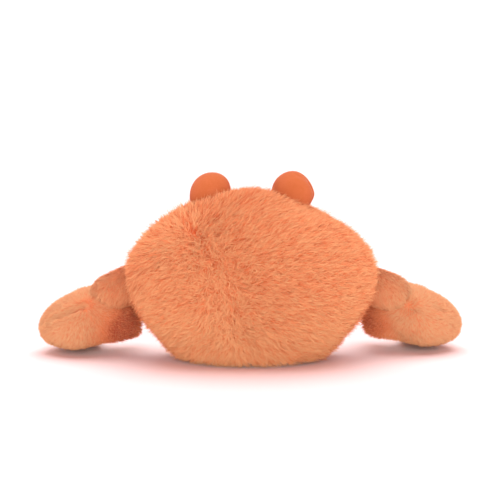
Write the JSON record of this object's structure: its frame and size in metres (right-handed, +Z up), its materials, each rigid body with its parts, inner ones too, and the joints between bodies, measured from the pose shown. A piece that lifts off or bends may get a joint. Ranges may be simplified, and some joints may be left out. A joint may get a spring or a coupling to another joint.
{
  "type": "plush crab",
  "caption": "Stuffed toy crab with a long-pile back, short-pile face, arms and pincer claws, and felt eye knobs with bead eyes.",
  "frame": {"origin": "middle of the footprint of the whole crab, on the floor that it stands on", "axes": "+X along the width from the left claw to the right claw, +Y the way the crab faces, +Z up"},
  "size_m": [0.245, 0.121, 0.1064],
  "materials": {
    "long_pile": "long soft plush pile, matt",
    "short_pile": "short brushed plush pile, matt",
    "felt": "smooth brushed felt",
    "fibre": "loose polyester fibre",
    "black_plastic": "polished",
    "nylon": "as moulded"
  },
  "bodies": {
    "root": {"body_back_panel": "long_pile", "body_front_panel": "short_pile", "body_filling": "fibre", "left_arm_sleeve": "short_pile", "left_arm_filling": "fibre", "left_claw_upper_panel": "short_pile", "left_claw_lower_panel": "short_pile", "left_claw_filling": "fibre", "left_eye_knob_back": "felt", "left_eye_knob_front": "felt", "left_eye_knob_filling": "fibre", "left_eye_bead": "black_plastic", "left_eye_washer": "nylon", "right_arm_sleeve": "short_pile", "right_arm_filling": "fibre", "right_claw_upper_panel": "short_pile", "right_claw_lower_panel": "short_pile", "right_claw_filling": "fibre", "right_eye_knob_back": "felt", "right_eye_knob_front": "felt", "right_eye_knob_filling": "fibre", "right_eye_bead": "black_plastic", "right_eye_washer": "nylon"}
  },
  "joints": []
}
